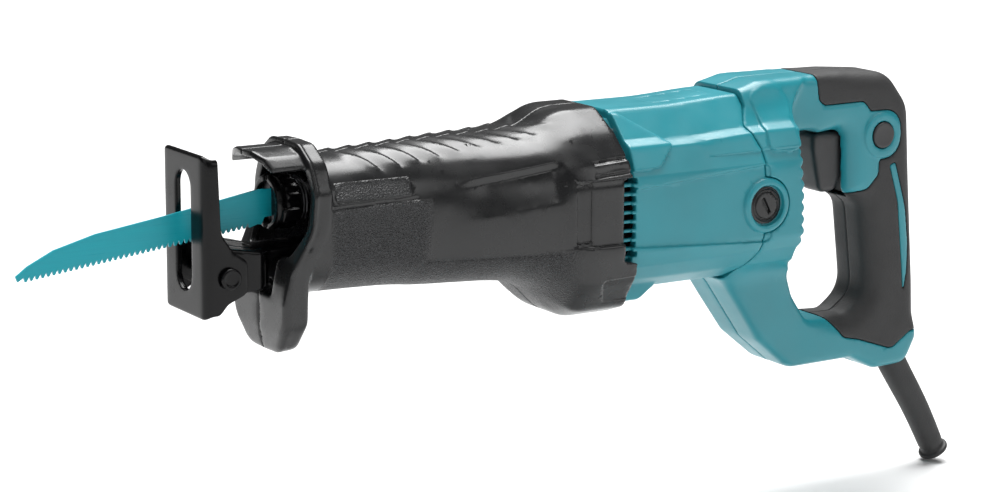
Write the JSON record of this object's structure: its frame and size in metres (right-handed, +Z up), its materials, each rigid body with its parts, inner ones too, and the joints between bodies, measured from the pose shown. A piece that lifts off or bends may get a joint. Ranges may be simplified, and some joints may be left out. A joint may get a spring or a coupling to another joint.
{
  "type": "reciprocating saw",
  "caption": "Corded reciprocating saw: ribbed black front cover, teal motor housing, D-handle with trigger, blade clamp, pivoting slotted shoe and cord guard.",
  "frame": {"origin": "point where the stroke axis crosses the front face of the shoe", "axes": "+X rearwards to the handle along the stroke, -X the way the blade points, +Z up, -Y the operator's left side with the lock-on button"},
  "size_m": [0.5656, 0.097, 0.233],
  "materials": {
    "black_plastic": "satin moulded",
    "teal_plastic": "fine moulded texture",
    "grip_rubber": "fine grained overmould",
    "black_paint": "glossy black",
    "blade_paint": "teal painted steel",
    "steel": "machined",
    "casting": "die cast",
    "copper": "enamelled copper",
    "brass": "bright",
    "carbon": "pressed carbon",
    "dark_plastic": "moulded"
  },
  "bodies": {
    "root": {"front_cover_left": "black_plastic", "front_cover_right": "black_plastic", "motor_housing": "teal_plastic", "handle_left": "teal_plastic", "handle_right": "teal_plastic", "grip_left": "grip_rubber", "grip_right": "grip_rubber", "gear_housing": "casting", "gear_housing_lid": "casting", "lid_screws": "steel", "housing_screws": "steel", "guide_sleeve": "brass", "dust_seal": "dark_plastic", "gear_bearings": "steel", "front_bearing": "steel", "rear_bearing": "steel", "baffle_plate": "dark_plastic", "stator_core": "steel", "field_coils": "copper", "brush_holders": "brass", "carbon_brushes": "carbon", "brush_springs": "steel", "brush_caps": "dark_plastic", "switch_body": "dark_plastic", "suppressor": "dark_plastic", "cord_guard": "grip_rubber", "cord_clamp": "dark_plastic", "cord_clamp_screws": "steel", "handle_screws": "steel", "bracket_clamp_plate": "steel", "bracket_screws": "steel"},
    "slider": {"slider": "steel", "clamp_holder": "steel", "clamp_pin": "steel", "clamp_spring": "steel", "blade": "blade_paint"},
    "clamp_collar": {"clamp_collar": "black_paint"},
    "crank": {"crank_gear": "steel", "crank_roller": "steel"},
    "armature": {"armature_shaft": "steel", "armature_core": "steel", "armature_windings": "copper", "commutator": "copper", "fan": "dark_plastic"},
    "shoe_bracket": {"shoe_bracket": "black_paint"},
    "shoe": {"shoe": "black_paint", "shoe_rivet": "black_paint"},
    "trigger": {"trigger": "dark_plastic"},
    "lock_button": {"lock_button": "dark_plastic"}
  },
  "joints": [
    {"name": "stroke", "type": "slide", "parent": "root", "child": "slider", "axis": [1, 0, 0], "range_m": [-0.014, 0.014]},
    {"name": "collar_turn", "type": "hinge", "parent": "slider", "child": "clamp_collar", "pos_m": [0.05, 0, 0], "axis": [1, 0, 0], "range_deg": [0, 45], "stiffness_Nm_per_rad": 0.15, "springref_deg": -20.05},
    {"name": "armature_spin", "type": "hinge", "parent": "root", "child": "armature", "pos_m": [0.27, 0, -0.0207], "axis": [1, 0, 0], "continuous": true},
    {"name": "crank_spin", "type": "hinge", "parent": "root", "child": "crank", "pos_m": [0.178, 0, 0], "axis": [0, 0, 1], "continuous": true},
    {"name": "shoe_adjust", "type": "slide", "parent": "root", "child": "shoe_bracket", "axis": [1, 0, 0], "range_m": [-0.02, 0]},
    {"name": "shoe_tilt", "type": "hinge", "parent": "shoe_bracket", "child": "shoe", "pos_m": [0.0126, 0, -0.0298], "axis": [0, 1, 0], "range_deg": [-35, 20]},
    {"name": "trigger_pull", "type": "slide", "parent": "root", "child": "trigger", "axis": [1, 0, 0], "range_m": [0, 0.006], "stiffness_N_per_m": 900, "springref_m": -0.006},
    {"name": "lock_press", "type": "slide", "parent": "root", "child": "lock_button", "axis": [0, 1, 0], "range_m": [0, 0.003], "stiffness_N_per_m": 600, "springref_m": -0.003}
  ],
  "couplings": [
    {"joint": "crank_spin", "follows": "armature_spin", "ratio": -0.25}
  ]
}
